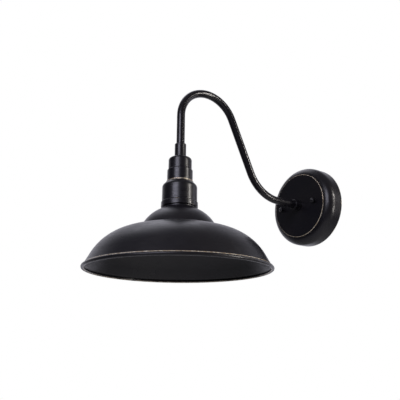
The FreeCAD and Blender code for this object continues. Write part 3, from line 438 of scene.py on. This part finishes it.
def turned_piece(name, profile, centre, finish, segments=96, closed=True, shape=None, sharp=40):
    """A profile of (radius, height) points in mm turned about an upright axis at centre.

    shape(radius, height, turn) may move each point, for threads and ribs.
    """
    verts, faces, rows = [], [], []
    for radius, height in profile:
        row = []
        for k in range(segments if radius > 1e-6 else 1):
            turn = 2 * math.pi * k / segments
            r, h = shape(radius, height, turn) if shape else (radius, height)
            row.append(len(verts))
            verts.append(((centre[0] + r * math.cos(turn)) * MM, (centre[1] + r * math.sin(turn)) * MM,
                          (centre[2] + h) * MM))
        rows.append(row)
    pairs = list(zip(rows, rows[1:] + rows[:1])) if closed else list(zip(rows, rows[1:]))
    for a, b in pairs:
        if len(a) == 1 and len(b) == 1:
            continue
        for k in range(segments):
            n = (k + 1) % segments
            if len(a) == 1:
                faces.append((a[0], b[k], b[n]))
            elif len(b) == 1:
                faces.append((a[k], b[0], a[n]))
            else:
                faces.append((a[k], b[k], b[n], a[n]))
    mesh = bpy.data.meshes.new(name)
    mesh.from_pydata(verts, [], faces)
    mesh.validate()
    mesh.shade_smooth()
    mesh.set_sharp_from_angle(angle=math.radians(sharp))
    mesh.materials.append(finish)
    piece = bpy.data.objects.new(name, mesh)
    bpy.context.scene.collection.objects.link(piece)
    return piece


def helix(first, last, pitch, depth, ease=2.0):
    """Moves a wall in and out along a screw line between two heights, fading out at both ends."""
    def shape(radius, height, turn):
        inside = min(height - first, last - height)
        fade = max(0.0, min(1.0, inside / ease))
        wave = math.cos(2 * math.pi * height / pitch - turn)
        return radius + depth * fade * wave, height
    return shape


head_axis = (0.0, -HEAD_REACH, 0.0)

# the lamp socket's rolled screw shell, a thin brass sheet with a round thread
shell_line = rows_between((SHELL_RADIUS, SHELL_FOOT), (SHELL_RADIUS, SHELL_ROOF), 0.42)
shell_line.append((SHELL_RADIUS, SHELL_ROOF))
shell_roof = [(5.8, SHELL_ROOF), (5.8, SHELL_ROOF - SHELL_SHEET),
              (SHELL_RADIUS - SHELL_SHEET, SHELL_ROOF - SHELL_SHEET)]
shell_inside = [(r - SHELL_SHEET, h) for r, h in reversed(shell_line) if h < SHELL_ROOF - 1.2]
shell_profile = shell_line + shell_roof + shell_inside
thread = helix(SHELL_FOOT, SHELL_ROOF - 1.5, 3.63, 0.5)


def shell_thread(radius, height, turn):
    return thread(radius, height, turn) if radius > 12.0 else (radius, height)


shell = turned_piece("rolled_screw_shell", shell_profile, head_axis, brass, shape=shell_thread)
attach(shell, "sconce")
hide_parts("screw_shell")

# the porcelain lampholder with the coarse outside thread that the shade ring runs on
outside = rows_between((HOLDER_WALL, HOLDER_THREAD_TOP), (HOLDER_WALL, HOLDER_FOOT + 1.0), 0.25)
shoulder = [(0, HOLDER_TOP), (17.6, HOLDER_TOP), (18.6, HOLDER_TOP - 0.35), (19.6, HOLDER_TOP - 1.2),
            (HOLDER_WALL, HOLDER_TOP - 2.2)]
mouth = [(19.6, HOLDER_FOOT + 0.7), (19.2, HOLDER_FOOT + 0.2), (18.6, HOLDER_FOOT), (14.9, HOLDER_FOOT),
         (WELL_RADIUS + 0.25, HOLDER_FOOT + 0.25), (WELL_RADIUS, HOLDER_FOOT + 0.8)]
well = [(WELL_RADIUS, SHELL_ROOF + 0.05), (4.8, SHELL_ROOF + 0.05), (4.8, SHELL_ROOF + 2.4),
        (2.4, SHELL_ROOF + 2.5), (2.4, SHELL_ROOF + 8.9), (0, SHELL_ROOF + 8.9)]
holder_profile = shoulder + outside + mouth + well
ring_thread = helix(HOLDER_FOOT + 1.5, HOLDER_THREAD_TOP - 0.6, 2.0, 0.24, 1.0)


def holder_thread(radius, height, turn):
    return ring_thread(radius, height, turn) if radius > 19.7 else (radius, height)


holder = turned_piece("porcelain_lampholder", holder_profile, head_axis, porcelain_glaze,
                      segments=112, closed=False, shape=holder_thread)
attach(holder, "sconce")
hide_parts("lampholder_body")


def twist_connector(name, node, x, side, finish):
    """A wire connector with a flared mouth, a ribbed grip and a rounded tip; side -1 points it down."""
    mouth, tip = 21.0, 40.0
    walls = [(1.6, mouth + 9.0), (1.6, mouth + 4.0), (3.0, mouth + 1.2), (3.8, mouth + 0.2), (4.25, mouth),
             (4.5, mouth + 0.3), (4.45, mouth + 2.6), (4.1, mouth + 3.2)]
    grip = rows_between((4.1, mouth + 3.2), (3.1, tip - 2.2), 0.8)[1:]
    end = [(3.0, tip - 2.0), (2.75, tip - 0.7), (2.1, tip - 0.15), (1.3, tip), (0, tip)]

    def ribs(radius, height, turn):
        inside = min(height - (mouth + 3.2), (tip - 1.6) - height)
        fade = max(0.0, min(1.0, inside / 1.2)) if radius > 2.5 else 0.0
        return radius - 0.22 * fade * (1 - math.cos(12 * turn)) / 2, height

    profile = [(0, mouth + 9.0)] + walls + grip + end
    piece = turned_piece(name, profile, (x, -LEAD_DEPTH, 0.0), finish, segments=72, closed=False, shape=ribs)
    if side < 0:
        half_turn = Matrix.Rotation(math.pi, 4, "X")
        piece.data.transform(half_turn @ Matrix.Translation((0, 2 * LEAD_DEPTH * MM, 0)))
    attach(piece, "sconce")
    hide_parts(node)


ORANGE, GREEN = (connector_orange, "connector_orange"), (connector_green, "connector_green")
for name, node, x, side, (finish, slot) in (
        ("line_twist_connector", "line_connector", LEAD_X, 1, ORANGE),
        ("neutral_twist_connector", "neutral_connector", -LEAD_X, -1, ORANGE),
        ("ground_twist_connector", "ground_connector", GROUND_X, 1, GREEN)):
    twist_connector(name, node, x, side, finish)


# ---- studio --------------------------------------------------------------------------------
def camera_axes(azimuth, elevation, roll):
    """Right, up and back directions of a camera that looks at the sconce from that azimuth and elevation."""
    a, e, r = (math.radians(v) for v in (azimuth, elevation, roll))
    back = Vector((math.sin(a) * math.cos(e), -math.cos(a) * math.cos(e), math.sin(e)))
    right = Vector((math.cos(a), math.sin(a), 0))
    up = back.cross(right)
    return (right * math.cos(r) + up * math.sin(r), up * math.cos(r) - right * math.sin(r), back)


right, up, back = camera_axes(CAMERA_AZIMUTH, CAMERA_ELEVATION, CAMERA_ROLL)
lens = bpy.data.cameras.new("view")
lens.sensor_width = SENSOR_WIDTH
lens.lens = FOCAL_PIXELS * SENSOR_WIDTH / PICTURE_PIXELS
camera = bpy.data.objects.new("view", lens)
camera.matrix_world = (Matrix.Translation(Vector(CAMERA_PLACE) * MM)
                       @ Matrix((right, up, back)).transposed().to_4x4())
bpy.context.scene.collection.objects.link(camera)
bpy.context.scene.camera = camera

middle = Vector((0.0, -0.17, 0.0))     # the point between canopy and head that the lights face


def softbox(name, direction, distance, width, height, power, colour):
    """A rectangular studio light that faces the sconce from that direction."""
    light = bpy.data.lights.new(name, "AREA")
    light.shape = "RECTANGLE"
    light.size, light.size_y = width, height
    light.energy = power
    light.color = colour
    lamp = bpy.data.objects.new(name, light)
    away = direction.normalized()
    lamp.location = middle + away * distance
    lamp.rotation_mode = "QUATERNION"
    lamp.rotation_quaternion = away.to_track_quat("Z", "Y")
    bpy.context.scene.collection.objects.link(lamp)


def round_from_camera(turn, rise):
    """A direction turned to the camera's right and raised above level, both in degrees."""
    azimuth = math.radians(CAMERA_AZIMUTH + turn)
    level = Vector((math.sin(azimuth), -math.cos(azimuth), 0))
    return level * math.cos(math.radians(rise)) + Vector((0, 0, math.sin(math.radians(rise))))


COOL, WARM, NEUTRAL = (0.84, 0.83, 1.0), (1.0, 0.95, 0.9), (0.90, 0.90, 1.0)
for name, turn, rise, distance, width, height, power, colour in (
        ("left_softbox", -27, 20, 1.5, 0.8, 0.6, 14.0, COOL),
        ("right_strip", 66, 16, 1.3, 0.09, 0.36, 8.0, WARM),
        ("low_softbox", 66, -10, 1.3, 0.16, 0.16, 5.0, WARM),
        ("side_softbox", 108, 6, 1.5, 0.4, 0.8, 2.6, (0.88, 0.87, 1.0)),
        ("top_softbox", -150, 62, 1.5, 1.1, 0.8, 3.5, NEUTRAL)):
    softbox(name, round_from_camera(turn, rise), distance, width, height, power, colour)

# the studio round the sconce: a white backdrop behind it and overhead, a dim room on the camera's side
world = bpy.data.worlds.new("studio")
bpy.context.scene.world = world
world.use_nodes = True
world.node_tree.nodes.clear()
sky = Wiring(world.node_tree)
path = sky.node("ShaderNodeLightPath").outputs
outward = sky.node("ShaderNodeTexCoord").outputs["Generated"]


def toward(direction, low, high):
    """How far the studio's wall lies toward a direction, eased from low to high."""
    facing = sky.node("ShaderNodeVectorMath", {0: outward, 1: tuple(direction)}, operation="DOT_PRODUCT")
    return sky.ramp(facing.outputs["Value"], low, high)


backdrop = toward(round_from_camera(180, 12), 0.25, 0.95)
overhead = sky.calc("MULTIPLY", toward((0, 0, 1), 0.5, 1.0), 0.19)
room = sky.calc("ADD", 0.05, sky.calc("MULTIPLY", sky.calc("MAXIMUM", backdrop, overhead), 0.93))
polished = sky.calc("MAXIMUM", path["Is Glossy Ray"], path["Is Transmission Ray"])
reflected = sky.node("ShaderNodeBackground", {"Color": (0.90, 0.89, 1.0, 1), "Strength": room}).outputs[0]
ambient = sky.node("ShaderNodeBackground", {"Color": (0.93, 0.94, 1.0, 1), "Strength": 0.22}).outputs[0]
white = sky.node("ShaderNodeBackground", {"Color": (1, 1, 1, 1), "Strength": 1.0}).outputs[0]
lit = sky.node("ShaderNodeMixShader", {0: polished, 1: ambient, 2: reflected}).outputs[0]
seen = sky.node("ShaderNodeMixShader", {0: path["Is Camera Ray"], 1: lit, 2: white}).outputs[0]
sky.feed(sky.node("ShaderNodeOutputWorld").inputs["Surface"], seen)

# a round pale floor well below the sconce, which glows a little so that its edge stays faint
FLOOR_RADIUS, FLOOR_LEVEL, FLOOR_SIDES, FLOOR_GLOW = 2.4, -1.15, 96, 0.72
floor_mesh = bpy.data.meshes.new("pale_floor")
rim = []
for step in range(FLOOR_SIDES):
    angle = 2 * math.pi * step / FLOOR_SIDES
    rim.append((FLOOR_RADIUS * math.cos(angle), FLOOR_RADIUS * math.sin(angle) - 0.2, FLOOR_LEVEL))
floor_mesh.from_pydata(rim, [], [tuple(range(len(rim)))])
floor = bpy.data.objects.new("pale_floor", floor_mesh)
floor_paint, floor_wire, floor_skin = new_finish("pale_floor")
floor_skin.inputs["Base Color"].default_value = (0.86, 0.86, 0.85, 1)
floor_skin.inputs["Roughness"].default_value = 0.8
floor_skin.inputs["Emission Color"].default_value = (1, 1, 1, 1)
seen_floor = floor_wire.node("ShaderNodeLightPath").outputs["Is Camera Ray"]
floor_wire.feed(floor_skin.inputs["Emission Strength"], floor_wire.calc("MULTIPLY", seen_floor, FLOOR_GLOW))
floor_mesh.materials.append(floor_paint)
bpy.context.scene.collection.objects.link(floor)

bpy.context.scene.view_settings.view_transform = "Standard"
